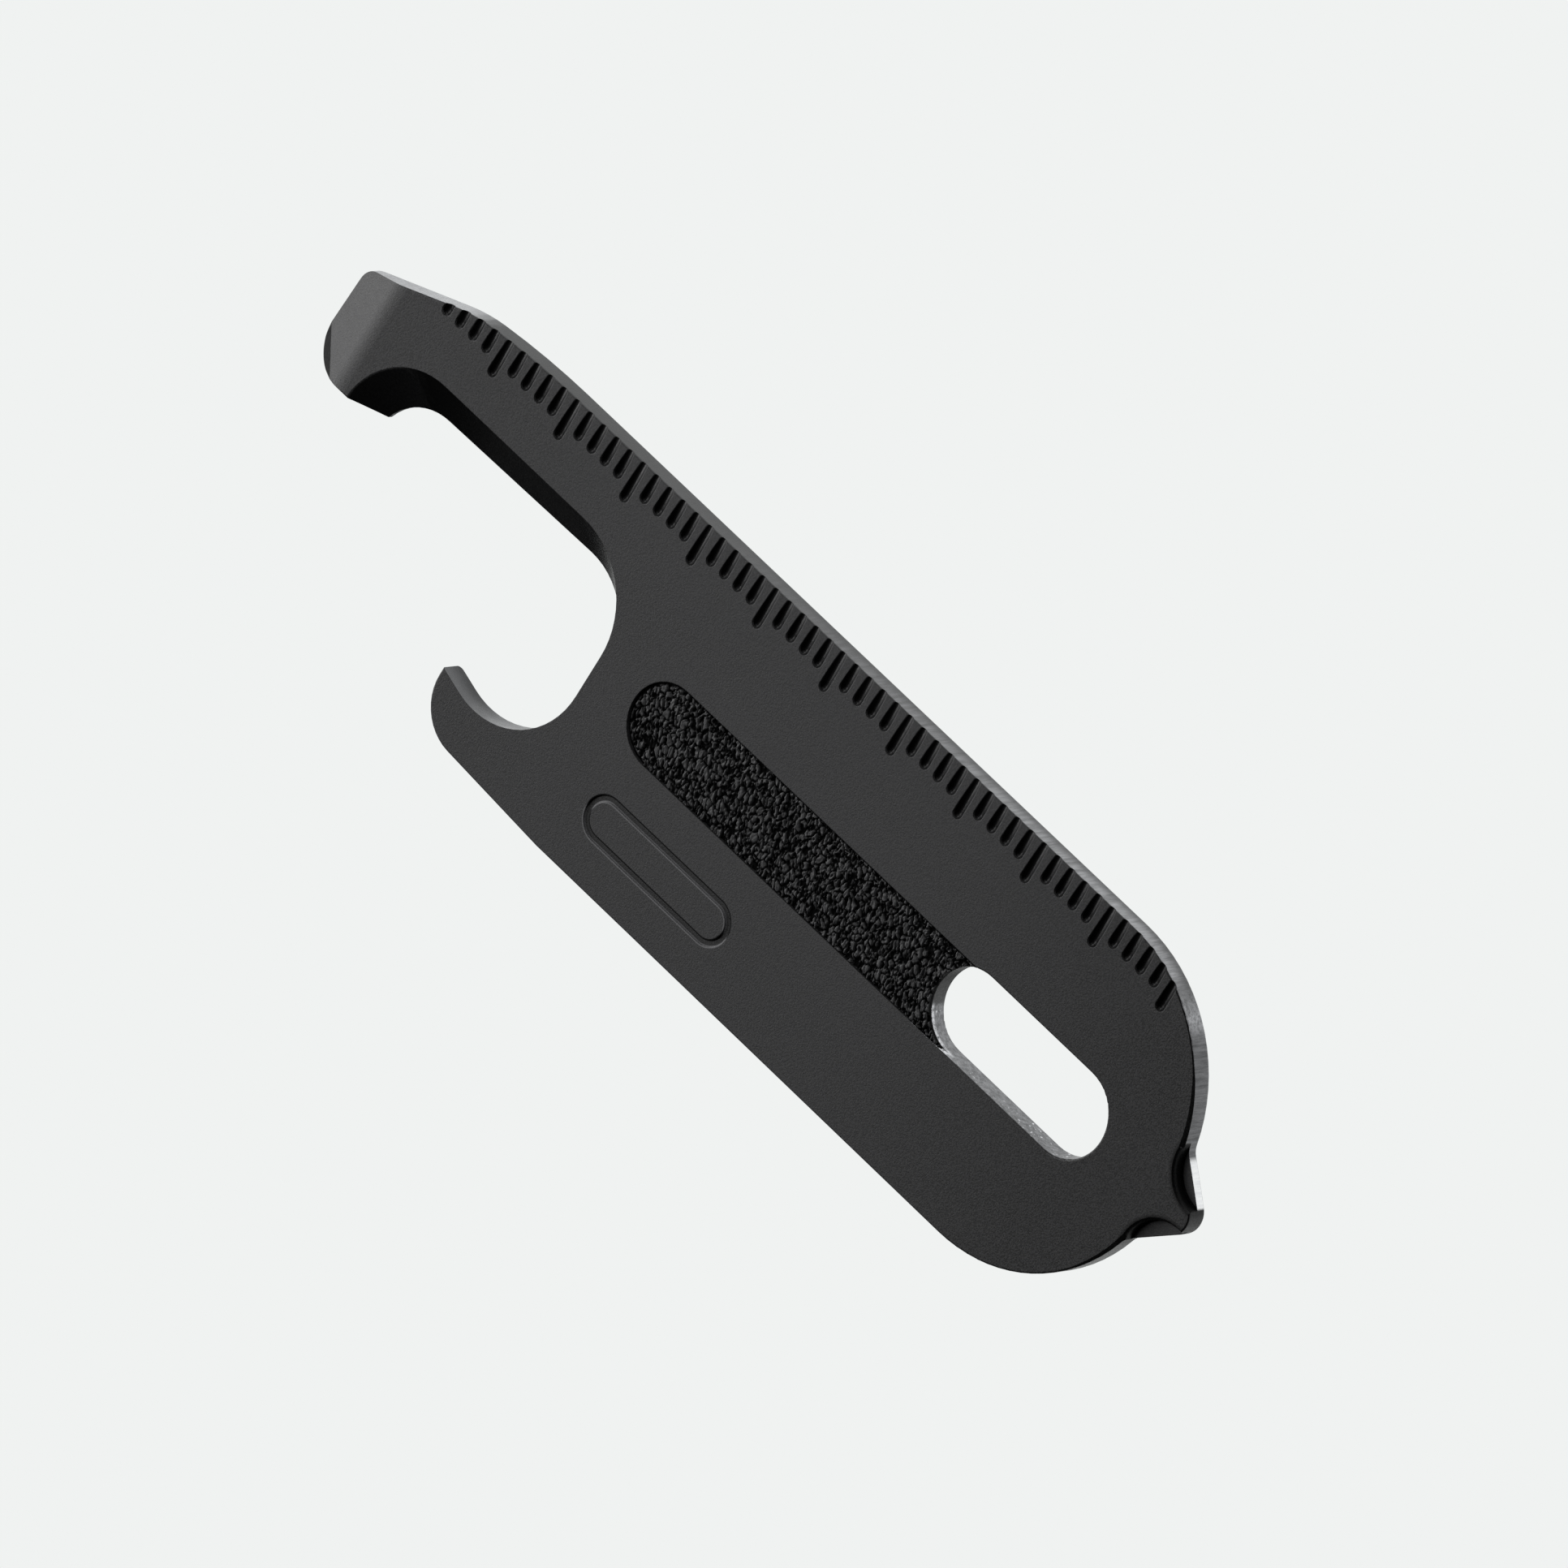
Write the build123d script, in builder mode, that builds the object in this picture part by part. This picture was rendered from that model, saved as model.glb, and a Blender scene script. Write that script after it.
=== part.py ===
from build123d import *
from math import atan2, cos, degrees, radians, sin, tan
import os

# Flat pocket multi-tool: bottle opener, screwdriver blade, ruler, post slot and package opener.
# Frame: origin at the centre of the post slot on the back face, +X towards the package opener,
# +Y towards the ruler edge, +Z out of the marked face. Millimetres.

# ---- Plate ----
thickness = 1.5
half_width = 9.75
nose_x = 10.32              # end of the round nose, without the package opener
nose_r = 9.0                # radius of its two shoulders
back_edge_r = 0.3           # rounding along the outer edge of the back face
front_edge_r = 0.1          # slight break along the outer edge of the marked face

# ---- Package opener: a pointed beak on the nose, hollowed on both sides ----
beak_point_x = 13.1         # where its two flanks would meet
beak_y = -0.15              # it sits slightly towards the plain edge
beak_half_angle = 43.0
beak_tip_r = 1.15
beak_root_r = 1.0
beak_base_x = 8.0           # its flanks start inside the nose
scallop_r = 2.2
scallop_x = 12.25
scallop_y = 2.8
scallop_depth = 0.7
scallop_rim_r = 0.25        # rounding of its rim at the marked face
scallop_rim_turn = 65.0     # the rounding stops this far round, short of lying flat
nose_bevel_in = 0.2         # the nose's front bevel comes in this far at the middle
nose_bevel_r = 9.47         # and its larger radius makes it fade out along the shoulders
nose_bevel_depth = 0.24
nose_bevel_flare = 0.2

# ---- Post slot and grip pocket ----
slot_length = 12.2
slot_width = 4.82
slot_edge_r = 0.1
pocket_end_x = -28.65
pocket_y = -0.08
pocket_width = 4.67
pocket_depth = 0.35
inlay_gap = 0.03            # side clearance of the inlay in its pocket
inlay_thickness = 0.25

# ---- Ruler ----
tick_count = 55
tick_pitch = 1.0
long_tick_every = 5
ruler_zero_x = 4.9
short_tick = 1.68
long_tick = 2.4
tick_r = 0.3                # ball-ended groove, half as deep as wide at its inner end
tick_rise = 0.2             # its axis climbs to this above the face at the ruler edge

# ---- Arm and screwdriver blade ----
arm_curve_x = -40.5         # the ruler edge starts to fall away here
arm_curve_r = 50.0
arm_curve_turn = 6.9
arm_bend_r = 10.0
arm_slope = 20.3
blade_end_x = -54.9
blade_end_lean = 3.0
blade_upper_r = 1.1         # its two corners
blade_lower_r = 1.5
blade_bevel_length = 2.75
blade_bevel_r = 3.2         # soft start of the bevel
blade_tip_thickness = 0.6
hook_end_y = 1.0
hook_end_turn_x = -51.4     # from here the hook's end rises towards the throat
hook_end_rise = 7.0
facet_up = 2.2              # the lower corner's facet reaches this far up the blade's end
facet_along = 2.1           # and this far along the hook's end
facet_drop = 0.2            # depth of the facet's edge there, below the marked face

# ---- Throat ----
throat_x = -31.5
throat_low_y = -2.2         # centre height of the lower arc
throat_low_r = 4.5
lower_tip_x = -38.68
lower_tip_turn = 15.5       # the lower hook's inner wall rises again by this angle
lower_corner_r = 2.8
lower_taper_x = -29.0
lower_taper = 0.5
lip_height = 0.3            # upright lip under the slanted inner wall of arm and hook

# The throat has one outline at the marked face and a tighter one at the lip.
face_hook_x = -46.9         # centre of the hook's hollow along the arm
face_hook_top = 5.25        # top of the hollow
face_hook_r = 4.5
face_arm_y = 5.25           # inner edge of the arm at the throat
face_corner_r = 4.9
lip_hook_x = -46.3
lip_hook_top = 3.42
lip_hook_r = 3.27
lip_arm_y = 3.6
lip_corner_r = 4.1

# ---- Blank name field ----
field_x = -22.5
field_y = -6.1
field_length = 10.5
field_width = 2.6
field_groove = 0.35
field_depth = 0.12

over = 1.0                  # how far a cutter runs past what it cuts


def heading(angle):
    """Unit vector in the plan at an angle counted from +X."""
    return Vector(cos(radians(angle)), sin(radians(angle)))


def crossing(start, start_angle, other, other_angle):
    """Where the line from start at one angle meets the line through other at another angle."""
    along = heading(start_angle)
    across = heading(other_angle)
    gap = Vector(other) - Vector(start)
    reach = gap.cross(across).Z / along.cross(across).Z
    return Vector(start) + along * reach


def nose_outline(end_x, shoulder_r, start_x):
    """Round nose as two shoulder arcs joined by a short upright, closed at start_x."""
    middle_y = half_width - nose_r
    with BuildSketch() as outline:
        with BuildLine():
            upper = JernArc((end_x - shoulder_r, middle_y + shoulder_r), (1, 0), shoulder_r, -90)
            upright = Line(upper @ 1, (end_x, -middle_y))
            lower = JernArc(upright @ 1, (0, -1), shoulder_r, -90)
            Polyline(lower @ 1, (start_x, (lower @ 1).Y), (start_x, (upper @ 0).Y), upper @ 0)
        make_face()
    return outline.sketch


def throat_outline(hook_x, hook_top, hook_r, arm_y, corner_r):
    """Throat of the bottle opener, open to the left between arm and lower hook."""
    with BuildSketch() as outline:
        with BuildLine():
            hook = JernArc((hook_x - hook_r, hook_top - hook_r), (0, 1), hook_r, -90)
            arm = Line(hook @ 1, (throat_x - corner_r, arm_y))
            corner = JernArc(arm @ 1, (1, 0), corner_r, -90)
            wall = Line(corner @ 1, (throat_x, throat_low_y))
            low = JernArc(wall @ 1, (0, -1), throat_low_r, -90 - lower_tip_turn)
            mouth = crossing(low @ 1, 180 - lower_tip_turn, (lower_tip_x - over, 0), 90)
            Polyline(low @ 1, mouth, (mouth.X, (hook @ 0).Y), hook @ 0)
        make_face()
    return outline.sketch


def strip_outline(gap):
    """Strip with a round left end that runs into the post slot, smaller all round by gap."""
    radius = pocket_width / 2
    centre_x = pocket_end_x + radius
    with BuildSketch() as outline:
        with Locations((centre_x, pocket_y)):
            Circle(radius - gap)
            Rectangle(-slot_length / 2 + slot_width / 2 - centre_x, 2 * (radius - gap),
                      align=(Align.MIN, Align.CENTER))
    return outline.sketch


def tick_cutter(length):
    """Ball-ended cutter that starts at the ball's centre and climbs out towards the ruler edge."""
    run = length - tick_r
    with BuildPart() as cutter:
        Sphere(tick_r)
        with BuildSketch(Plane(origin=(0, 0, 0), z_dir=(0, run, tick_rise))):
            Circle(tick_r)
        extrude(amount=run + over)
    return cutter.part


def tick_places(is_long, length):
    """Centres of the inner ends of the long or the short ruler marks."""
    return [
        (ruler_zero_x - i * tick_pitch, half_width - length + tick_r, thickness)
        for i in range(tick_count)
        if (i % long_tick_every == 0) == is_long
    ]


# ---- Plate outline, with the throat still filled in ----
beak_half_base = tan(radians(beak_half_angle)) * (beak_point_x - beak_base_x)
lower_corner = (lower_tip_x, -half_width + lower_taper)
with BuildSketch() as plate_outline:
    with BuildLine():
        ruler = Line((nose_x - nose_r, half_width), (arm_curve_x, half_width))
        curve = JernArc(ruler @ 1, (-1, 0), arm_curve_r, arm_curve_turn)
        bend = JernArc(curve @ 1, curve % 1, arm_bend_r, arm_slope - arm_curve_turn)
        hook_end = Line((blade_end_x, hook_end_y), (hook_end_turn_x, hook_end_y))
        blade_corner = crossing(bend @ 1, 180 + arm_slope, hook_end @ 0, 90 - blade_end_lean)
        Polyline(bend @ 1, blade_corner, hook_end @ 0)
        mouth = crossing(hook_end @ 1, hook_end_rise, lower_corner, 90)
        Polyline(hook_end @ 1, mouth, lower_corner, (lower_taper_x, -half_width),
                 (nose_x - nose_r, -half_width), ruler @ 0)
    make_face()
    add(nose_outline(nose_x, nose_r, 0))
    with BuildLine():
        Polyline((beak_point_x, beak_y), (beak_base_x, beak_y + beak_half_base),
                 (beak_base_x, beak_y - beak_half_base), close=True)
    make_face()
    fillet(vertices().sort_by(Axis.X)[-3:-1], beak_root_r)
    fillet(vertices().sort_by(Axis.X)[-1], beak_tip_r)
    fillet(vertices().sort_by_distance(lower_corner)[0], lower_corner_r)
    fillet(vertices().sort_by_distance(blade_corner)[0], blade_upper_r)
    fillet(vertices().sort_by_distance((blade_end_x, hook_end_y))[0], blade_lower_r)

# ---- Cutters ----
rim_start_z = scallop_depth - scallop_rim_r * sin(radians(scallop_rim_turn))
with BuildPart() as scallop:
    with BuildSketch(Plane.XZ):
        with BuildLine():
            rim = JernArc((scallop_r, rim_start_z), (0, 1), scallop_rim_r, -scallop_rim_turn)
            flare = crossing(rim @ 1, 90 - scallop_rim_turn, (scallop_r + over, 0), 90)
            Polyline(rim @ 1, flare, (0, flare.Y), (0, 0), (scallop_r, 0), rim @ 0)
        make_face()
    revolve(axis=Axis.Z)

with BuildPart() as nose_bevel:
    with BuildSketch(Plane.XY.offset(thickness - nose_bevel_depth)):
        with Locations((nose_x, half_width), (nose_x, -half_width)):
            Rectangle(2 * nose_r, 2 * (half_width - scallop_y))
    extrude(amount=nose_bevel_depth)
    with BuildSketch(Plane.XY.offset(thickness - nose_bevel_depth)):
        add(nose_outline(nose_x - nose_bevel_in + nose_bevel_flare, nose_bevel_r + nose_bevel_flare,
                         -nose_r))
    with BuildSketch(Plane.XY.offset(thickness)):
        add(nose_outline(nose_x - nose_bevel_in, nose_bevel_r, -nose_r))
    loft(ruled=True, mode=Mode.SUBTRACT)

short_cutter = tick_cutter(short_tick)
long_cutter = tick_cutter(long_tick)

# ---- Tool body ----
with BuildPart() as tool_body:
    add(plate_outline.sketch)
    extrude(amount=thickness)
    back_outline = edges().group_by(Axis.Z)[0]
    fillet(back_outline.sort_by_distance((0, half_width, 0))[0], back_edge_r)
    front_outline = edges().group_by(Axis.Z)[-1]
    fillet(front_outline.sort_by_distance((0, half_width, thickness))[0], front_edge_r)

    # nose: fading front bevel, then a hollow on each side of the package opener
    add(nose_bevel.part, mode=Mode.SUBTRACT)
    with Locations((scallop_x, scallop_y, thickness - scallop_depth),
                   (scallop_x, -scallop_y, thickness - scallop_depth)):
        add(scallop.part, mode=Mode.SUBTRACT)

    # blade: long bevel with a soft start, and a facet across its lower corner
    bevel_angle = degrees(atan2(thickness - blade_tip_thickness, blade_bevel_length))
    bevel_start_x = blade_end_x + blade_bevel_length + blade_bevel_r * tan(radians(bevel_angle / 2))
    with BuildSketch(Plane.XZ):
        with BuildLine():
            start = JernArc((bevel_start_x, thickness), (-1, 0), blade_bevel_r, bevel_angle)
            low_end = crossing(start @ 1, 180 + bevel_angle, (blade_end_x - over, 0), 90)
            Polyline(start @ 1, low_end, (low_end.X, thickness + over), (bevel_start_x, thickness + over),
                     start @ 0)
        make_face()
    extrude(amount=-half_width, mode=Mode.SUBTRACT)
    low_point = Vector(blade_end_x, hook_end_y, 0)
    up_point = Vector(blade_end_x, hook_end_y + facet_up, blade_tip_thickness)
    along_point = Vector(blade_end_x + facet_along, hook_end_y, thickness - facet_drop)
    with BuildSketch(Plane(origin=low_point, z_dir=(along_point - low_point).cross(up_point - low_point))):
        Rectangle(4 * facet_up, 4 * facet_along)
    extrude(amount=facet_up, mode=Mode.SUBTRACT)

    # throat: upright lip at the back, then a ruled wall from the lip up to the marked face
    with BuildSketch():
        add(throat_outline(lip_hook_x, lip_hook_top, lip_hook_r, lip_arm_y, lip_corner_r))
    extrude(amount=lip_height, mode=Mode.SUBTRACT)
    with BuildSketch(Plane.XY.offset(lip_height)):
        add(throat_outline(lip_hook_x, lip_hook_top, lip_hook_r, lip_arm_y, lip_corner_r))
    with BuildSketch(Plane.XY.offset(thickness)):
        add(throat_outline(face_hook_x, face_hook_top, face_hook_r, face_arm_y, face_corner_r))
    loft(ruled=True, mode=Mode.SUBTRACT)

    # post slot with broken edges, and the pocket for the grip inlay that runs into it
    with BuildSketch():
        SlotOverall(slot_length, slot_width)
    extrude(amount=thickness, mode=Mode.SUBTRACT)
    fillet(edges(Select.LAST).filter_by(Plane.XY), slot_edge_r)
    with BuildSketch(Plane.XY.offset(thickness)):
        add(strip_outline(0))
    extrude(amount=-pocket_depth, mode=Mode.SUBTRACT)

    # blank name field: an obround groove
    with BuildSketch(Plane.XY.offset(thickness)):
        with Locations((field_x, field_y)):
            SlotOverall(field_length, field_width)
            SlotOverall(field_length - 2 * field_groove, field_width - 2 * field_groove, mode=Mode.SUBTRACT)
    extrude(amount=-field_depth, mode=Mode.SUBTRACT)

    # ruler
    with Locations(*tick_places(False, short_tick)):
        add(short_cutter, mode=Mode.SUBTRACT)
    with Locations(*tick_places(True, long_tick)):
        add(long_cutter, mode=Mode.SUBTRACT)

# ---- Grip inlay, seated on the pocket floor and ending at the slot's wall ----
with BuildPart() as grip_inlay:
    with BuildSketch(Plane.XY.offset(thickness - pocket_depth)):
        add(strip_outline(inlay_gap))
        SlotOverall(slot_length, slot_width, mode=Mode.SUBTRACT)
    extrude(amount=inlay_thickness)

os.makedirs("parts", exist_ok=True)
tool_body.part.label = "tool_body"
export_step(tool_body.part, "parts/tool_body.step")
grip_inlay.part.label = "grip_inlay"
export_step(grip_inlay.part, "parts/grip_inlay.step")
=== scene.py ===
import math
from types import SimpleNamespace

import bmesh
import bpy
from mathutils import Matrix, Vector, noise


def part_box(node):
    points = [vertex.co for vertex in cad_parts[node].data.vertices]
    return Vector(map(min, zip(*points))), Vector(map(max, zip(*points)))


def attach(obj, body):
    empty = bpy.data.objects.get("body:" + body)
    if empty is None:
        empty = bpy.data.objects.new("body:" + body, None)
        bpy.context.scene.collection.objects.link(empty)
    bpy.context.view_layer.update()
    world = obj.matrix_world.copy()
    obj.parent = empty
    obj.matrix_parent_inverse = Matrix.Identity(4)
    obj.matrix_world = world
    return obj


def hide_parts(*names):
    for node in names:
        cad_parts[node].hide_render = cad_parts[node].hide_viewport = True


# Looks for the flat pocket multi-tool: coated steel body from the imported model, and a grained
# grip strip built here in place of the plain CAD inlay. Blender's metres, in the CAD model's frame:
# +X towards the package opener, +Y towards the ruler edge, +Z out of the marked face.
# Lengths are in metres, some of them written as millimetres * MM, except in the materials and the
# grain, where they are in millimetres.

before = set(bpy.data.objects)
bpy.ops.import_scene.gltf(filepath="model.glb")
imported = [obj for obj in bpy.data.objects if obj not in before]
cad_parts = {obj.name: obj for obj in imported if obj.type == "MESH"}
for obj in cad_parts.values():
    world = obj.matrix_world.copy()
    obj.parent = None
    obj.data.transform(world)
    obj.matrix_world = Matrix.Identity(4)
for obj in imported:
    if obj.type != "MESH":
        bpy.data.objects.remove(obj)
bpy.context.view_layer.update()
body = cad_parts["tool_body"]

MM = 0.001
body_low, body_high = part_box("tool_body")
inlay_low, inlay_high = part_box("grip_inlay")
FACE = body_high.z / MM                 # height of the marked face in millimetres


# ---- Node helpers ----
COOL = 1.04                             # blue of the greys against their red and green
MIX_SOCKETS = {"FLOAT": (2, 3, 0), "RGBA": (6, 7, 2)}   # first, second and result of a Mix node


def grey(level):
    """Slightly cool grey of a linear level."""
    return (level, level, min(1.0, level * COOL), 1.0)


class Nodes:
    """A node tree, with helpers that add nodes to it."""

    def __init__(self, tree):
        self.tree = tree

    def node(self, kind):
        return self.tree.nodes.new("ShaderNode" + kind)

    def plug(self, value, socket):
        """Link an output socket, or write a constant, into an input socket."""
        if isinstance(value, bpy.types.NodeSocket):
            self.tree.links.new(value, socket)
        else:
            socket.default_value = value

    def components(self, vector, factor):
        """X, Y and Z of a vector times a factor."""
        scaled = self.node("VectorMath")
        scaled.operation = "SCALE"
        self.plug(vector, scaled.inputs[0])
        self.plug(factor, scaled.inputs["Scale"])
        parts = self.node("SeparateXYZ")
        self.plug(scaled.outputs[0], parts.inputs[0])
        return parts.outputs

    def math(self, operation, a, b=0.0):
        node = self.node("Math")
        node.operation = operation
        self.plug(a, node.inputs[0])
        self.plug(b, node.inputs[1])
        return node.outputs[0]

    def ramp(self, value, start, end, at_start=0.0, at_end=1.0):
        """Smooth step of a value, from start (which may be the larger) to end."""
        node = self.node("MapRange")
        node.interpolation_type = "SMOOTHSTEP"
        self.plug(value, node.inputs["Value"])
        self.plug(start, node.inputs["From Min"])
        self.plug(end, node.inputs["From Max"])
        self.plug(at_start, node.inputs["To Min"])
        self.plug(at_end, node.inputs["To Max"])
        return node.outputs["Result"]

    def mix(self, kind, factor, a, b):
        """Mix of two values or colours, from a at factor 0 to b at factor 1."""
        first, second, result = MIX_SOCKETS[kind]
        node = self.node("Mix")
        node.data_type = kind
        self.plug(factor, node.inputs[0])
        self.plug(a, node.inputs[first])
        self.plug(b, node.inputs[second])
        return node.outputs[result]

    def mix_value(self, factor, a, b):
        return self.mix("FLOAT", factor, a, b)

    def mix_color(self, factor, a, b):
        return self.mix("RGBA", factor, a, b)

    def layered(self, color, layers):
        """Colour with layers over it, each a mask and the colour it brings in."""
        for mask, over in layers:
            color = self.mix_color(mask, color, over)
        return color

    def noise(self, cells, detail, roughness, stretch=(1, 1, 1)):
        """Noise over object space, in cells per millimetre."""
        coords = self.node("TexCoord")
        mapping = self.node("Mapping")
        mapping.inputs["Scale"].default_value = [s / MM for s in stretch]
        self.plug(coords.outputs["Object"], mapping.inputs["Vector"])
        texture = self.node("TexNoise")
        self.plug(mapping.outputs["Vector"], texture.inputs["Vector"])
        self.plug(cells, texture.inputs["Scale"])
        self.plug(detail, texture.inputs["Detail"])
        self.plug(roughness, texture.inputs["Roughness"])
        return texture.outputs["Fac"]

    def bump(self, height, depth, strength=1.0, normal=None):
        """Bump of a depth in millimetres, over another normal if one is given."""
        node = self.node("Bump")
        self.plug(depth * MM, node.inputs["Distance"])
        self.plug(strength, node.inputs["Strength"])
        self.plug(height, node.inputs["Height"])
        if normal is not None:
            self.plug(normal, node.inputs["Normal"])
        return node.outputs["Normal"]

    def all_of(self, *masks):
        """Product of masks, each a socket or a plain share."""
        result = masks[0]
        for mask in masks[1:]:
            result = self.math("MULTIPLY", result, mask)
        return result

    def any_of(self, *masks):
        """Largest of masks."""
        result = masks[0]
        for mask in masks[1:]:
            result = self.math("MAXIMUM", result, mask)
        return result

    def outside_of(self, *masks):
        """One where none of the masks is."""
        return self.math("SUBTRACT", 1.0, self.any_of(*masks))

    def length(self, dx, dy):
        """Length of a plan vector."""
        squares = self.math("ADD", self.math("MULTIPLY", dx, dx), self.math("MULTIPLY", dy, dy))
        return self.math("SQRT", squares)


def node_material(name):
    """New material with an empty node tree, and that tree's helpers."""
    material = bpy.data.materials.new(name)
    material.use_nodes = True
    nodes = Nodes(material.node_tree)
    nodes.tree.nodes.clear()
    return material, nodes


class Look(Nodes):
    """A principled material, with the surface's place in millimetres and its facing."""

    def __init__(self, name):
        self.material, nodes = node_material(name)
        super().__init__(nodes.tree)
        self.shader = self.node("BsdfPrincipled")
        self.plug(self.shader.outputs["BSDF"], self.node("OutputMaterial").inputs["Surface"])
        geometry = self.node("NewGeometry")
        self.x, self.y, self.z = self.components(geometry.outputs["Position"], 1 / MM)
        self.nx, self.ny, self.nz = self.components(geometry.outputs["True Normal"], 1)

    def put(self, name, value):
        """Set one of the shader's inputs."""
        self.plug(value, self.shader.inputs[name])


# ---- Coated steel: textures and masks ----
# Every pair of numbers is where a mask is 0 and where it is 1: millimetres for x, y, z and plan
# distances, and parts of a unit normal for facings.
CRISP = 0.02                            # half width of a mask's edge along a sharp corner
SCALLOP_X = 12.25                       # hollows beside the package opener
SCALLOP_Y = 2.8
SCALLOP_R = 2.2                         # at their floor
SCALLOP_RIM = 0.25                      # width of their rounded rim, which sets how far the painted shade round them reaches
SCALLOP_FLOOR = FACE - 0.7
BEVEL_FLOOR = FACE - 0.24               # lower edge of the nose's front bevel
FIELD_X = -22.5                         # blank name field: an obround groove
FIELD_Y = -6.1
FIELD_HALF = 3.95                       # half the length of its straight sides
FIELD_R = 1.3
FIELD_GROOVE = 0.35
FIELD_LINE = 0.09                       # half width of the painted highlight line and the painted shade line on its walls
FIELD_TURN = 0.3                        # the two lines swap walls over twice this height


def steel_textures(look):
    """Grinding streaks through the thickness, specks, mottle, slow clouds and blasted grain."""
    streaks = look.noise(5.0, 5, 0.75, stretch=(1, 1, 0.08))
    blast = look.noise(10.5, 2, 0.75)
    speck_patches = look.ramp(look.noise(0.6, 1, 0.5), 0.48, 0.60)
    return SimpleNamespace(
        streaks=streaks,
        streak_tone=look.ramp(streaks, 0.30, 0.70),
        specks=look.all_of(look.ramp(look.noise(5.0, 2, 0.5), 0.60, 0.72), speck_patches),
        mottle=look.ramp(look.noise(4.0, 5, 0.75), 0.35, 0.65),
        cloud_tone=look.ramp(look.noise(0.35, 4, 0.6), 0.35, 0.65),
        blast=blast,
        blast_tone=look.ramp(blast, 0.40, 0.60))


def facing_masks(look):
    """Walls, the front half of the surface, and everything lower than the marked face."""
    steep = (0.6, 0.25)
    not_flat = (0.98, 0.90)
    not_back = (-0.7, -0.4)
    upright = look.math("ABSOLUTE", look.nz)
    return SimpleNamespace(
        upright=upright,
        wall=look.ramp(upright, *steep),
        sloped=look.ramp(upright, *not_flat),
        front=look.ramp(look.nz, *not_back),
        below_face=look.ramp(look.z, FACE - 0.5 * CRISP, FACE - 3 * CRISP))


def scallop_masks(look, facing):
    """Hollows beside the package opener: distance from their axes, wall, rim, floor and its edge; the
    wall, rim and floor's edge carry painted shade, the floor painted light.
    """
    def from_axis(y):
        return look.length(look.math("SUBTRACT", look.x, SCALLOP_X), look.math("SUBTRACT", look.y, y))

    outside = SCALLOP_R + CRISP
    inside = SCALLOP_R - CRISP
    rim_fade = (SCALLOP_R + 1.6 * SCALLOP_RIM, SCALLOP_R + 0.5 * SCALLOP_RIM)
    floor_height = (SCALLOP_FLOOR + 0.10, SCALLOP_FLOOR + 0.05)
    floor_facing = (0.85, 0.95)
    floor_border = (SCALLOP_R - 0.14, SCALLOP_R - 0.06)
    near = look.math("MINIMUM", from_axis(SCALLOP_Y), from_axis(-SCALLOP_Y))
    wall = look.all_of(look.ramp(near, outside + 2 * CRISP, outside),
                       look.ramp(near, inside - 2 * CRISP, inside),
                       look.ramp(look.z, SCALLOP_FLOOR - CRISP, SCALLOP_FLOOR), facing.sloped)
    # Painted shade: the coat darkens in a ring just outside each hollow.
    rim = look.all_of(look.ramp(near, *rim_fade), look.ramp(near, inside, outside), facing.front)
    # Painted light: the hollows' floor is painted paler against the shade that falls on it.
    ledge = look.all_of(look.ramp(near, outside, inside), look.ramp(look.z, *floor_height),
                        look.ramp(facing.upright, *floor_facing), facing.front)
    # Painted shade along the foot of the hollows' wall.
    ledge_edge = look.all_of(ledge, look.ramp(near, *floor_border))
    return SimpleNamespace(near=near, wall=wall, rim=rim, ledge=ledge, ledge_edge=ledge_edge)


def slot_masks(look, facing):
    """Post slot: all of its wall, the lit near side, the shaded far side and the worn rim."""
    left_end = (-7, -6)
    right_end = (7, 6.3)
    sides = (3.2, 2.5)
    near_y = (-0.8, -1.3)
    far_y = (-1.1, 0.6)
    rim_x = (-3.1, -3.8)
    rim_height = (0.85, 1.05)
    zone = look.all_of(look.ramp(look.x, *left_end), look.ramp(look.x, *right_end),
                       look.ramp(look.math("ABSOLUTE", look.y), *sides), facing.wall)
    near_side = look.all_of(zone, look.ramp(look.y, *near_y))
    far_side = look.all_of(zone, look.ramp(look.y, *far_y))
    rim = look.all_of(near_side, look.ramp(look.x, *rim_x), look.ramp(look.z, *rim_height))
    return SimpleNamespace(zone=zone, near_side=near_side, far_side=far_side, rim=rim)


def opener_masks(look, facing, scallop):
    """Nose and package opener: wall of the nose, polished flank, tip, pale patch, front bevel."""
    nose_x = (4.6, 7.0)
    nose_facing = (-0.35, 0.0)
    flank_x = (10.3, 10.6)
    flank_facing = (0.40, 0.62)
    flank_reach = (SCALLOP_R + CRISP, SCALLOP_R - 5 * CRISP)
    tip_x = (11.2, 11.5)
    patch_left = (4.8, 5.8)
    patch_right = (7.6, 6.2)
    bevel_x = (3.5, 6.0)
    bevel_facing = (0.05, 0.2)
    bevel_upright = (0.2, 0.35)
    bevel_height = (BEVEL_FLOOR - 3 * CRISP, BEVEL_FLOOR - CRISP)
    nose = look.all_of(look.ramp(look.x, *nose_x), look.ramp(look.ny, *nose_facing))
    flank = look.all_of(look.ramp(look.x, *flank_x), look.ramp(look.ny, *flank_facing),
                        look.ramp(scallop.near, *flank_reach))
    tip = look.all_of(look.ramp(look.x, *tip_x), facing.wall, look.outside_of(flank))
    patch = look.all_of(look.ramp(look.x, *patch_left), look.ramp(look.x, *patch_right))
    bevel = look.all_of(look.ramp(look.x, *bevel_x), look.ramp(look.nx, *bevel_facing),
                        look.ramp(look.z, *bevel_height), look.ramp(facing.upright, *bevel_upright),
                        facing.sloped)
    return SimpleNamespace(nose=nose, flank=flank, tip=tip, patch=patch, bevel=bevel)


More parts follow.
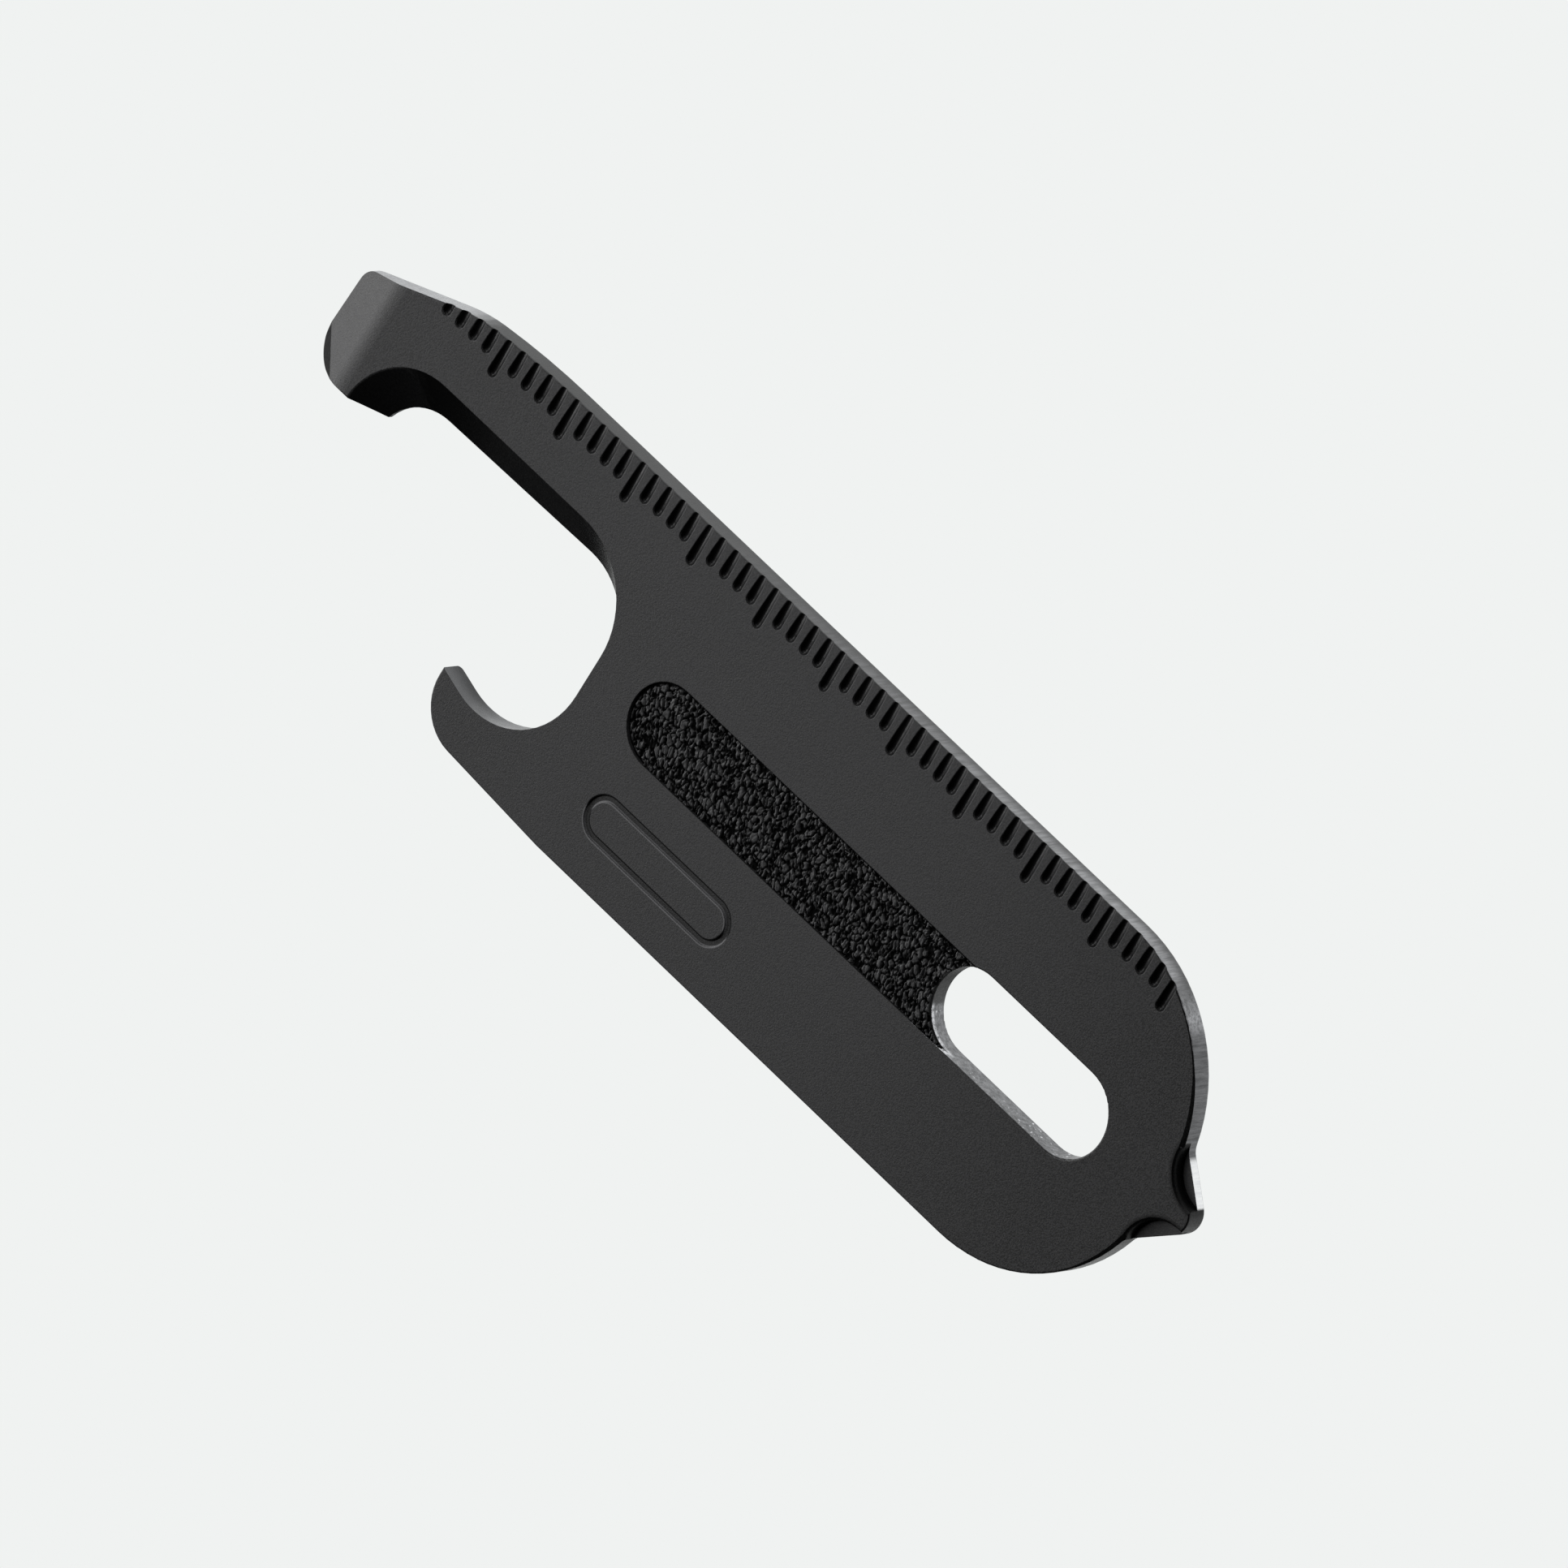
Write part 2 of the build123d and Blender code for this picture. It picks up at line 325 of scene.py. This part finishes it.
def arm_masks(look, facing):
    """Arm and throat: lower hook's wall, shaded arm wall and hollow, blade's sloped wall and facet."""
    hook_x = (-30, -31)
    hook_y = (-2, -3)
    throat_x = (-32, -34)
    throat_y = (0, 1)
    throat_facing = (-0.25, -0.5)
    throat_paler = look.ramp(look.x, -46, -42, 1.0, 0.88)
    hollow_right = (-46, -48)
    hollow_left = (-51.5, -51.2)
    hollow_top = (4.8, 4.3)
    slope_x = (-45, -49)
    slope_y = (4, 5)
    slope_facing = (-0.08, -0.30)
    facet_x = (-52, -53)
    facet_y = (4, 3.5)
    facet_facing = (-0.10, -0.20)
    hook = look.all_of(look.ramp(look.x, *hook_x), look.ramp(look.y, *hook_y))
    throat = look.all_of(look.ramp(look.ny, *throat_facing), look.ramp(look.x, *throat_x),
                         look.ramp(look.y, *throat_y), throat_paler)
    hollow = look.all_of(look.ramp(look.x, *hollow_right), look.ramp(look.x, *hollow_left),
                         look.ramp(look.y, *hollow_top), facing.below_face)
    slope = look.all_of(look.ramp(look.nx, *slope_facing), look.ramp(look.x, *slope_x),
                        look.ramp(look.y, *slope_y))
    facet = look.all_of(look.ramp(look.x, *facet_x), look.ramp(look.ny, *facet_facing),
                        look.ramp(look.y, *facet_y))
    return SimpleNamespace(hook=hook, throat=throat, hollow=hollow, slope=slope, facet=facet)


def ruler_masks(look, facing):
    """Ruler: its edge wall, worn and painted paler to the right and upwards as painted light, and the
    core, lit line and far side of each mark; the core and far side carry painted shade.
    """
    wall_y = (8, 9)
    wall_facing = (0.8, 0.95)
    worn_and_painted_light_x = (-40, 2)
    # Painted light: the edge wall is painted paler to the right and towards the marked face.
    paler_right = look.ramp(look.x, -52, 4, 0.2, 1.0)
    paler_up = look.ramp(look.z, 0.2, 1.2, 0.25, 1.0)
    marks_left = (-51.2, -50.8)
    marks_right = (7, 6)
    marks_y = (7.0, 7.2)
    marks_upright = (0.3, 0.4)
    line_start = (0.06, -0.02)
    line_end = (-0.28, -0.18)
    deeper_left = look.ramp(look.nx, 0.15, 0.55, 0.72, 0.95)
    wall = look.all_of(look.ramp(look.ny, *wall_facing), look.ramp(look.y, *wall_y), facing.wall)
    painted_lit_wall = look.all_of(wall, paler_right, paler_up)
    # Wear and painted light: paler still towards the right.
    worn_and_painted_light_wall = look.all_of(painted_lit_wall, look.ramp(look.x, *worn_and_painted_light_x))
    mark = look.all_of(look.ramp(look.x, *marks_left), look.ramp(look.x, *marks_right),
                       look.ramp(look.y, *marks_y), look.ramp(facing.upright, *marks_upright),
                       facing.below_face)
    mark_line = look.all_of(mark, look.ramp(look.nx, *line_start), look.ramp(look.nx, *line_end))
    mark_far = look.all_of(mark, look.ramp(look.nx, *reversed(line_end)))
    mark_core = look.all_of(look.math("SUBTRACT", mark, look.any_of(mark_line, mark_far)), deeper_left)
    return SimpleNamespace(painted_lit_wall=painted_lit_wall, worn_and_painted_light_wall=worn_and_painted_light_wall,
                           mark_core=mark_core, mark_line=mark_line, mark_far=mark_far)


def field_masks(look, facing):
    """Blank name field: its groove, and a painted highlight line and a painted shade line along the
    groove's walls.
    """
    def line(middle):
        return look.all_of(look.ramp(distance, middle - FIELD_LINE, middle - 0.4 * FIELD_LINE),
                           look.ramp(distance, middle + FIELD_LINE, middle + 0.4 * FIELD_LINE))

    off_centre = look.math("ABSOLUTE", look.math("SUBTRACT", look.x, FIELD_X))
    past_side = look.math("MAXIMUM", look.math("SUBTRACT", off_centre, FIELD_HALF), 0.0)
    rise = look.math("SUBTRACT", look.y, FIELD_Y)
    distance = look.length(past_side, rise)
    upper = look.ramp(rise, -FIELD_TURN, FIELD_TURN)
    lower = look.ramp(rise, FIELD_TURN, -FIELD_TURN)
    outer = line(FIELD_R)
    inner = line(FIELD_R - FIELD_GROOVE)
    groove = look.all_of(look.ramp(distance, FIELD_R - FIELD_GROOVE, FIELD_R - 0.8 * FIELD_GROOVE),
                         look.ramp(distance, FIELD_R, FIELD_R - 0.2 * FIELD_GROOVE),
                         facing.below_face, facing.front)
    # Painted highlight line and painted shade line on the groove's walls.
    light = look.any_of(look.all_of(lower, outer), look.all_of(upper, inner))
    dark = look.any_of(look.all_of(upper, outer), look.all_of(lower, inner))
    return SimpleNamespace(groove=groove, light=look.all_of(light, facing.front), dark=dark)


# ---- Coated steel: colours and relief ----
SHADE = grey(0.003)                     # grooves, hollows and walls that face away from the light
EDGE_SOFTNESS = 0.06                    # radius to which sharp edges are softened in the shading
BLAST_DEPTH = 0.014
STREAK_DEPTH = 0.02


def coat_color(look, tex, masks):
    """Black coating: darkest at the nose, palest in the middle, nearly black in the grooves, with
    painted shade on grooves, hollows and walls turned from the light and painted light on the hollows'
    floor, the name field's lit line and the ruler's edge wall.
    """
    from_nose = look.ramp(look.x, 8, -12)
    middle = look.all_of(from_nose, look.ramp(look.x, -46, -32), 0.35)
    slot_coat = look.mix_color(tex.mottle, grey(0.010), grey(0.060))
    worn_and_painted_light_coat = look.mix_color(tex.streak_tone, grey(0.20), grey(0.50))
    return look.layered(grey(0.010), [
        (from_nose, grey(0.029)),
        (middle, grey(0.065)),
        (look.all_of(tex.cloud_tone, 0.25), grey(0.036)),
        (look.all_of(tex.blast_tone, 0.5), grey(0.078)),
        # Painted shade in a ring round each hollow.
        (look.all_of(masks.scallop.rim, 0.8), grey(0.006)),
        (look.all_of(masks.field.groove, 0.8), grey(0.010)),
        # Painted highlight along the name field's groove.
        (look.all_of(masks.field.light, 0.8), grey(0.25)),
        # Painted light: paler floor in the hollows.
        (masks.scallop.ledge, grey(0.075)),
        (masks.slot.zone, slot_coat),
        (masks.opener.tip, grey(0.03)),
        (masks.shaded, SHADE),
        # Wear and painted light on the ruler's edge wall.
        (masks.ruler.worn_and_painted_light_wall, worn_and_painted_light_coat)])


def thin_color(look, tex, masks):
    """Thin or missing coating on the cut walls of the slot, the lower hook and the nose."""
    # The lower hook's wall is paler towards the marked face, and paler still from x -37 to -33.5 mm.
    hook = look.layered(grey(0.05), [
        (look.ramp(look.z, 0.1, 1.4), grey(0.145)),
        (look.ramp(look.x, -37, -33.5, 0.0, 0.8), grey(0.33)),
        (look.all_of(tex.mottle, 0.3), grey(0.10))])
    return look.layered(grey(0.07), [
        (tex.streak_tone, grey(0.18)),
        (look.all_of(masks.opener.patch, 0.8), look.mix_color(tex.mottle, grey(0.20), grey(0.60))),
        (masks.arm.hook, hook),
        (masks.slot.near_side, look.mix_color(tex.mottle, grey(0.14), grey(0.29))),
        (look.all_of(masks.slot.rim, tex.mottle), grey(0.90)),
        (look.all_of(tex.specks, masks.slot.near_side), grey(0.85))])


def bright_color(look, tex, masks):
    """Bare steel, bright on the package opener and duller on the blade's sloped wall."""
    bright = look.mix_color(tex.streak_tone, grey(0.80), grey(1.0))
    return look.mix_color(masks.arm.slope, bright, look.mix_color(tex.mottle, grey(0.40), grey(0.52)))


def steel_masks(look):
    """Every mask of the steel, with those that combine several features."""
    facing = facing_masks(look)
    scallop = scallop_masks(look, facing)
    slot = slot_masks(look, facing)
    opener = opener_masks(look, facing, scallop)
    arm = arm_masks(look, facing)
    ruler = ruler_masks(look, facing)
    field = field_masks(look, facing)
    bare = look.all_of(look.any_of(slot.near_side, arm.hook, opener.nose), facing.wall,
                       look.outside_of(scallop.wall, opener.tip))
    polished = look.all_of(look.any_of(opener.flank, arm.slope), facing.wall,
                           look.outside_of(scallop.wall))
    # Painted shade: marks' cores and far sides, throat wall, hollows' wall and floor edge, arm hollow,
    # slot's far side, name field's dark line, nose bevel, blade facet and opener tip.
    shaded = look.any_of(ruler.mark_core, arm.throat, scallop.wall, scallop.ledge_edge,
                         look.all_of(arm.hollow, 0.9), look.all_of(slot.far_side, 0.9),
                         look.all_of(field.dark, 0.9), look.all_of(opener.bevel, 0.8),
                         look.all_of(arm.facet, 0.8), look.all_of(ruler.mark_far, 0.35),
                         look.all_of(opener.tip, 0.55))
    return SimpleNamespace(facing=facing, scallop=scallop, slot=slot, opener=opener, arm=arm,
                           ruler=ruler, field=field, bare=bare, polished=polished,
                           shaded=look.all_of(shaded, facing.front))


def steel_relief(look, tex, masks):
    """Blasted grain everywhere and streaks on the walls, over slightly softened edges."""
    soft = look.node("Bevel")
    soft.samples = 6
    look.plug(EDGE_SOFTNESS * MM, soft.inputs["Radius"])
    grain = look.bump(tex.blast, BLAST_DEPTH, normal=soft.outputs["Normal"])
    streaked = look.all_of(masks.facing.wall, look.outside_of(masks.arm.hook), 0.6)
    return look.bump(tex.streaks, STREAK_DEPTH, streaked, grain)


def coated_steel():
    """Black bead-blasted coating, thin on the cut walls, worn to bright steel on the opener."""
    look = Look("coated_steel_look")
    tex = steel_textures(look)
    masks = steel_masks(look)
    look.put("Base Color", look.layered(coat_color(look, tex, masks), [
        (masks.bare, thin_color(look, tex, masks)),
        (masks.polished, bright_color(look, tex, masks))]))
    metal = look.any_of(masks.bare, masks.polished, look.all_of(masks.ruler.painted_lit_wall, 0.45))
    look.put("Metallic", metal)
    coat_rough = look.mix_value(tex.blast_tone, 0.36, 0.46)
    bare_rough = look.mix_value(tex.cloud_tone, 0.26, 0.40)
    look.put("Roughness", look.mix_value(metal, coat_rough, bare_rough))
    # Specular is turned down where shade is painted and round the hollows' rims, and up to full along
    # the marks' lit lines, which paints a highlight there.
    shine = look.mix_value(masks.shaded, 0.5, 0.03)
    shine = look.mix_value(look.all_of(masks.scallop.rim, 0.7), shine, 0.1)
    look.put("Specular IOR Level", look.mix_value(masks.ruler.mark_line, shine, 1.0))
    look.put("Normal", steel_relief(look, tex, masks))
    return look.material


# ---- Grip strip ----
STRIP_R = (inlay_high.y - inlay_low.y) / 2
STRIP_Y = (inlay_high.y + inlay_low.y) / 2
STRIP_CENTRE_X = inlay_low.x + STRIP_R  # centre of its round left end
SLOT_R = 2.41 * MM                      # the slot's round end, which hollows the strip's right end
SLOT_LEFT_CENTRE = -3.69 * MM
GRID = 0.028 * MM                       # spacing of the grain mesh
PEAK_Z = body_high.z - 0.03 * MM
VALLEY = 0.20 * MM                      # from the grain's tops down to its valleys
MOAT = 0.20 * MM                        # the strip falls away along its round end
SIDE_STEEPER = 3                        # and this many times more steeply along its ruler side
SIDE_REACH = 0.995                      # the outermost rows stop just short of the quarter turn

# Grain: noise layers with their cells per millimetre along and across the strip, and the height at
# which each cuts the noise field, so that they differ from one another.
GRAIN_SLANT = 0.25                      # the grain leans by this much along per unit across
DRIFT_ALONG = (1.6, 1.1, 3.7)           # slow sideways drift of the whole pattern
DRIFT_ACROSS = (1.6, 1.1, 8.9)
DRIFT_REACH_ALONG = 0.12                # how far it drifts, in millimetres
DRIFT_REACH_ACROSS = 0.16
COARSE = (4.3, 2.7, 0.4)                # islands that stand up
FINE = (9.03, 6.21, 2.2)                # raggedness of their borders and tops
LUMP = (2.1, 1.3, 5.5)                  # slow rise and fall of the tops
CRACK_LAYER = 0.4
CRACK_ALONG = 0.31                      # size of the cracked cells in millimetres
CRACK_ACROSS = 0.48
CRACK_WOBBLE = 0.05                     # sideways wobble of the cracks in millimetres
CRACK_RAGGED = 0.18                     # how much the fine noise roughens a crack's side
CRACK_WIDTH = 0.24                      # share of a cell over which a crack's side rises
CRACK_FLOOR = 0.15                      # height left at the bottom of a crack
ISLAND_FLOOR = 0.25                     # height left between the islands
ISLAND_RISE = (-0.52, -0.06)            # noise values at the foot and the top of an island's side
ISLAND_RAGGED = 0.45                    # how much the fine noise roughens an island's side
TOP_LEVEL = 0.86
TOP_SWELL = 0.20                        # how much the lumps raise or lower a top
TOP_ROUGH = 0.14                        # how much the fine noise does


def smooth(value, low, high):
    """Smooth step of value between low and high."""
    t = min(1.0, max(0.0, (value - low) / (high - low)))
    return t * t * (3 - 2 * t)


def layer_point(u, v, layer):
    """Point of the noise field that a layer takes at a place on the strip."""
    along, across, cut = layer
    return Vector((u * along, v * across, cut))


def grain_height(x, y):
    """Grain of the strip from 0 (valley) to 1 (top): ragged flat tops, longer across the strip."""
    v = y / MM
    u = x / MM + GRAIN_SLANT * v
    drift_u = noise.noise(layer_point(u, v, DRIFT_ALONG))
    drift_v = noise.noise(layer_point(u, v, DRIFT_ACROSS))
    u += DRIFT_REACH_ALONG * drift_u
    v += DRIFT_REACH_ACROSS * drift_v
    coarse = noise.noise(layer_point(u, v, COARSE))
    fine = noise.noise(layer_point(u, v, FINE))
    lump = noise.noise(layer_point(u, v, LUMP))
    cell_u = (u + CRACK_WOBBLE * fine) / CRACK_ALONG
    nearest = noise.voronoi(Vector((cell_u, v / CRACK_ACROSS, CRACK_LAYER)))[0]
    crack = smooth(nearest[1] - nearest[0] + CRACK_RAGGED * fine, 0.0, CRACK_WIDTH)
    island = smooth(coarse + ISLAND_RAGGED * fine, *ISLAND_RISE)
    top = (ISLAND_FLOOR + (1 - ISLAND_FLOOR) * island) * (CRACK_FLOOR + (1 - CRACK_FLOOR) * crack)
    return min(1.0, max(0.0, top * (TOP_LEVEL + TOP_SWELL * lump) + TOP_ROUGH * fine))


def edge_share(x, y):
    """How much of the grain is left at a place: less along the round end and the ruler side."""
    if x <= STRIP_CENTRE_X:
        share = (STRIP_R - math.hypot(x - STRIP_CENTRE_X, y - STRIP_Y)) / MOAT
    elif y < STRIP_Y:
        share = 1.0
    else:
        share = SIDE_STEEPER * (STRIP_R - abs(y - STRIP_Y)) / MOAT
    return min(1.0, max(0.0, share))


def border(rows):
    """Outer ring of a grid of vertices, counter-clockwise from its first one."""
    right = [row[-1] for row in rows[1:-1]]
    left = [row[0] for row in rows[-2:0:-1]]
    return rows[0] + right + rows[-1][::-1] + left


def grip_strip():
    """Closed strip with a grained top, round at the left and hollowed by the slot at the right."""
    across = int(2 * STRIP_R / GRID)
    along = int((SLOT_LEFT_CENTRE - inlay_low.x) / GRID)
    bm = bmesh.new()
    rows_top = []
    rows_low = []
    for j in range(across + 1):
        swing = math.sin(math.pi / 2 * (2 * j / across - 1) * SIDE_REACH)
        y = STRIP_Y + STRIP_R * swing
        left = STRIP_CENTRE_X - math.sqrt(max(STRIP_R ** 2 - (y - STRIP_Y) ** 2, 0))
        right = SLOT_LEFT_CENTRE - math.sqrt(max(SLOT_R ** 2 - y ** 2, 0))
        places = [left + (right - left) * i / along for i in range(along + 1)]
        heights = [grain_height(x, y) * edge_share(x, y) for x in places]
        rows_top.append([bm.verts.new((x, y, PEAK_Z - VALLEY * (1 - height)))
                         for x, height in zip(places, heights)])
        rows_low.append([bm.verts.new((x, y, inlay_low.z)) for x in places])
    for row, after in zip(rows_top, rows_top[1:]):
        for i in range(along):
            bm.faces.new((row[i], row[i + 1], after[i + 1], after[i]))

    # side walls between the two borders, and one flat face below
    rim_top = border(rows_top)
    rim_low = border(rows_low)
    for n in range(len(rim_top)):
        m = (n + 1) % len(rim_top)
        bm.faces.new((rim_top[m], rim_top[n], rim_low[n], rim_low[m]))
    bm.faces.new(rim_low[::-1])
    for row in rows_low[1:-1]:
        for vertex in row[1:-1]:
            bm.verts.remove(vertex)

    mesh = bpy.data.meshes.new("grip_strip")
    bm.to_mesh(mesh)
    bm.free()
    for polygon in mesh.polygons:
        polygon.use_smooth = True
    strip = bpy.data.objects.new("grip_strip", mesh)
    bpy.context.scene.collection.objects.link(strip)
    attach(strip, "root")
    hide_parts("grip_inlay")
    return strip


def grip_look():
    """Matt black grained strip, painted paler on the tops and black in the valleys as painted shade,
    with speckles on the tops that are partly grain and partly painted highlight.
    """
    look = Look("grip_strip_look")
    peak = PEAK_Z / MM
    valley = VALLEY / MM
    height = look.ramp(look.z, peak - 0.80 * valley, peak - 0.25 * valley)
    speckle_and_glints = look.ramp(look.noise(6.0, 3, 0.7), 0.45, 0.7)
    # Painted shade: black in the valleys, paler with height; the speckles add painted highlights on
    # the tops.
    look.put("Base Color", look.layered(grey(0.005), [
        (height, grey(0.047)),
        (look.all_of(speckle_and_glints, height, 0.5), grey(0.09))]))
    look.put("Roughness", look.mix_value(height, 0.8, 0.45))
    look.put("Specular IOR Level", look.mix_value(height, 0.05, 0.5))
    look.put("Normal", look.bump(look.noise(9.0, 3, 0.7), 0.02, 0.8))
    return look.material


# ---- Stage ----
FLOOR_DROP = 0.030                      # the tool is held this far above the floor
FLOOR_SIZE = 4.0
FLOOR_TONE = (0.871, 0.888, 0.880, 1.0)
BLACK = (0, 0, 0, 1)
WHITE = (1, 1, 1, 1)
SURROUND_LIGHT = 0.02                   # what the surroundings add to the softboxes
CARD_LENGTH = 0.30                      # dark card below the tool's plain edge
CARD_WIDTH = 0.06
CARD_POSITION = (-0.02, -0.05, -0.005)
CARD_TARGET = (-0.02, 0, 0)
SOFTBOX_DISTANCE = 0.5
SOFTBOXES = (                           # name, direction from the tool, width, height and strength
    ("top_softbox", (-0.55, -0.05, 0.83), 0.40, 0.40, 0.9),
    ("side_softbox", (-0.90, -0.25, 0.34), 0.50, 0.30, 3.0),
    ("edge_softbox", (-0.15, 0.88, 0.45), 0.45, 0.20, 1.6))


def glowing_look(name, color, strength):
    """Material that glows in front and is clear from behind."""
    material, nodes = node_material(name)
    glow = nodes.node("Emission")
    nodes.plug(color, glow.inputs["Color"])
    nodes.plug(strength, glow.inputs["Strength"])
    blend = nodes.node("MixShader")
    nodes.plug(nodes.node("NewGeometry").outputs["Backfacing"], blend.inputs[0])
    nodes.plug(glow.outputs[0], blend.inputs[1])
    nodes.plug(nodes.node("BsdfTransparent").outputs[0], blend.inputs[2])
    nodes.plug(blend.outputs[0], nodes.node("OutputMaterial").inputs["Surface"])
    return material


def stage_plane(name, size_x, size_y, matrix, color, strength):
    """Flat glowing sheet: floor or dark card."""
    mesh = bpy.data.meshes.new(name)
    hx = size_x / 2
    hy = size_y / 2
    mesh.from_pydata([(-hx, -hy, 0), (hx, -hy, 0), (hx, hy, 0), (-hx, hy, 0)], [], [(0, 1, 2, 3)])
    mesh.materials.append(glowing_look(name + "_look", color, strength))
    plane = bpy.data.objects.new(name, mesh)
    plane.matrix_world = matrix
    bpy.context.scene.collection.objects.link(plane)
    return plane


def aimed(position, target, front):
    """Matrix at position whose front axis looks at target."""
    direction = Vector(target) - Vector(position)
    turn = direction.to_track_quat(front, "Y").to_matrix().to_4x4()
    return Matrix.Translation(position) @ turn


def softbox(name, direction, size_x, size_y, strength):
    """Area light in a direction from the tool's middle, aimed back at it."""
    light = bpy.data.lights.new(name, "AREA")
    light.shape = "RECTANGLE"
    light.size = size_x
    light.size_y = size_y
    light.energy = strength * math.pi * size_x * size_y
    lamp = bpy.data.objects.new(name, light)
    middle = Vector(((body_low.x + body_high.x) / 2, 0, 0))
    lamp.matrix_world = aimed(middle + Vector(direction).normalized() * SOFTBOX_DISTANCE, middle, "-Z")
    bpy.context.scene.collection.objects.link(lamp)


def build_surroundings():
    """Pale where the camera looks past the floor, nearly dark for the lighting."""
    world = bpy.data.worlds.new("studio")
    world.use_nodes = True
    nodes = Nodes(world.node_tree)
    background = nodes.tree.nodes["Background"]
    seen = nodes.node("LightPath").outputs["Is Camera Ray"]
    nodes.plug(nodes.mix_color(seen, WHITE, FLOOR_TONE), background.inputs["Color"])
    nodes.plug(nodes.mix_value(seen, SURROUND_LIGHT, 1.0), background.inputs["Strength"])
    bpy.context.scene.world = world
    bpy.context.scene.view_settings.view_transform = "Standard"


def build_stage():
    """Floor, a dark card that only reflections see, three softboxes and the surroundings."""
    floor_place = Matrix.Translation((0, 0, -FLOOR_DROP))
    stage_plane("floor", FLOOR_SIZE, FLOOR_SIZE, floor_place, FLOOR_TONE, 1.0)
    card_place = aimed(CARD_POSITION, CARD_TARGET, "Z")
    card = stage_plane("dark_card", CARD_LENGTH, CARD_WIDTH, card_place, BLACK, 0.0)
    card.visible_camera = False
    card.visible_diffuse = False
    card.visible_shadow = False
    for settings in SOFTBOXES:
        softbox(*settings)
    build_surroundings()


# ---- Camera ----
CAMERA_AZIMUTH = math.radians(44.149)   # from +X towards +Y
CAMERA_ELEVATION = math.radians(54.815)
CAMERA_ROLL = math.radians(-96.279)
CAMERA_DISTANCE = 1.3005
CAMERA_LENS = 602.7
CAMERA_SENSOR = 36.0
AIM = (-0.01983, 0.00151, 0.0)


def build_camera():
    """Long-lens camera at the chosen azimuth, elevation and roll around the aim."""
    data = bpy.data.cameras.new("camera")
    data.lens = CAMERA_LENS
    data.sensor_width = CAMERA_SENSOR
    data.clip_start = 0.01
    data.clip_end = 20.0
    camera = bpy.data.objects.new("camera", data)
    back = Vector((math.cos(CAMERA_ELEVATION) * math.cos(CAMERA_AZIMUTH),
                   math.cos(CAMERA_ELEVATION) * math.sin(CAMERA_AZIMUTH),
                   math.sin(CAMERA_ELEVATION)))
    level_right = Vector((-math.sin(CAMERA_AZIMUTH), math.cos(CAMERA_AZIMUTH), 0))
    level_up = back.cross(level_right)
    right = level_right * math.cos(CAMERA_ROLL) + level_up * math.sin(CAMERA_ROLL)
    up = back.cross(right)
    turn = Matrix((right, up, back)).transposed().to_4x4()
    camera.matrix_world = Matrix.Translation(Vector(AIM) + back * CAMERA_DISTANCE) @ turn
    bpy.context.scene.collection.objects.link(camera)
    bpy.context.scene.camera = camera


# ---- Build ----
body.data.materials.clear()
body.data.materials.append(coated_steel())
strip = grip_strip()
strip.data.materials.append(grip_look())
build_stage()
build_camera()
